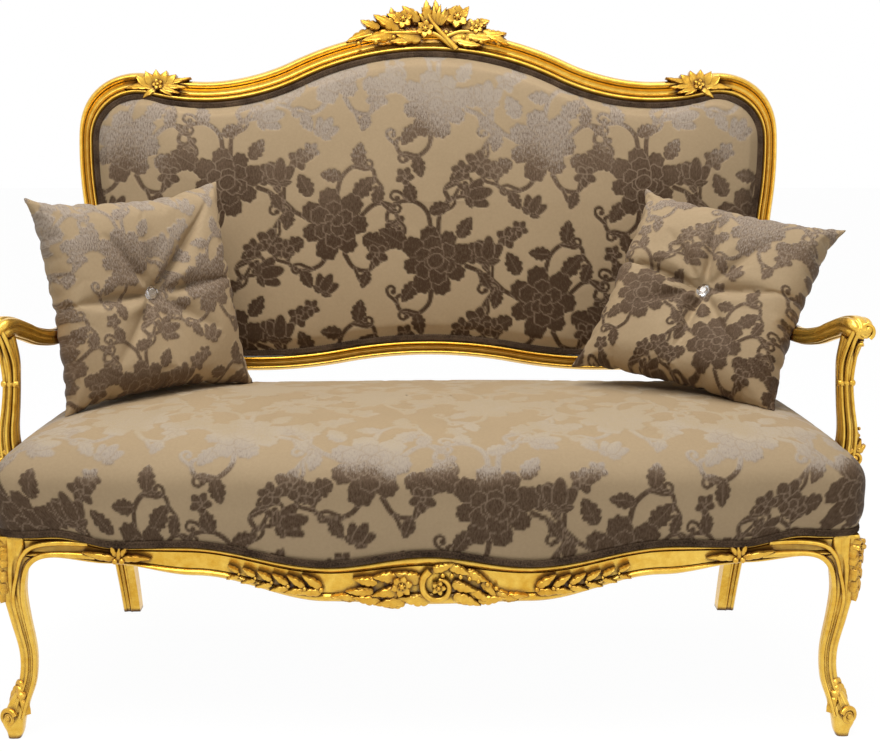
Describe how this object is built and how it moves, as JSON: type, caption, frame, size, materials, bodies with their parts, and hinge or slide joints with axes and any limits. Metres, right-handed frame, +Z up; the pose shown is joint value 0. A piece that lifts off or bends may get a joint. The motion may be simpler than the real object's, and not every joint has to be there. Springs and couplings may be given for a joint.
{
  "type": "sofa",
  "caption": "Carved and gilded settee in the baroque manner with open arms, cabriole legs, taupe floral damask and loose scatter cushions",
  "frame": {"origin": "centre of the bounding box in plan, on the floor", "axes": "+Z up, the sitter faces -Y, +X is on the right as seen from the front"},
  "size_m": [1.3542, 0.7162, 1.1208],
  "materials": {
    "gilded_wood": "gilded, satin",
    "gilded_carving": "gilded, satin with dark recesses",
    "beech": "matte",
    "damask": "satin ground with a raised velvet pattern",
    "plain_back_cloth": "matte",
    "braid": "matte",
    "webbing": "matte",
    "hessian": "matte",
    "stuffing": "matte",
    "black_lining": "matte",
    "crystal": "polished"
  },
  "bodies": {
    "frame": {"apron_carving": "gilded_carving", "back_cover": "damask", "back_gimp": "braid", "back_lower_rail": "gilded_wood", "back_stuffing": "stuffing", "back_webbing": "webbing", "centre_brace": "beech", "crest_carving": "gilded_carving", "crest_rail": "gilded_wood", "dust_cover": "black_lining", "front_gimp": "braid", "front_rail": "gilded_wood", "left_apron_garland": "gilded_carving", "left_arm": "gilded_wood", "left_arm_leaf": "gilded_carving", "left_arm_support": "gilded_wood", "left_back_post": "gilded_wood", "left_front_block": "beech", "left_front_leg": "gilded_wood", "left_knee_carving": "gilded_carving", "left_rear_block": "beech", "left_rear_gimp": "braid", "left_shoulder_carving": "gilded_carving", "left_side_rail": "gilded_wood", "outside_back": "plain_back_cloth", "rear_rail": "beech", "right_apron_garland": "gilded_carving", "right_arm": "gilded_wood", "right_arm_leaf": "gilded_carving", "right_arm_support": "gilded_wood", "right_back_post": "gilded_wood", "right_front_block": "beech", "right_front_leg": "gilded_wood", "right_knee_carving": "gilded_carving", "right_rear_block": "beech", "right_rear_gimp": "braid", "right_shoulder_carving": "gilded_carving", "right_side_rail": "gilded_wood", "seat_cover": "damask", "seat_hessian": "hessian", "seat_stuffing": "stuffing", "seat_webbing": "webbing"},
    "left_cushion": {"left_pillow": "damask", "left_pillow_crystal": "crystal"},
    "right_cushion": {"right_pillow": "damask", "right_pillow_crystal": "crystal"}
  },
  "joints": [
    {"name": "left_cushion_lift", "type": "slide", "parent": "frame", "child": "left_cushion", "axis": [0.3522, -0.5535, 0.7547], "range_m": [0, 0.4]},
    {"name": "right_cushion_lift", "type": "slide", "parent": "frame", "child": "right_cushion", "axis": [-0.3522, -0.5535, 0.7547], "range_m": [0, 0.4]}
  ]
}
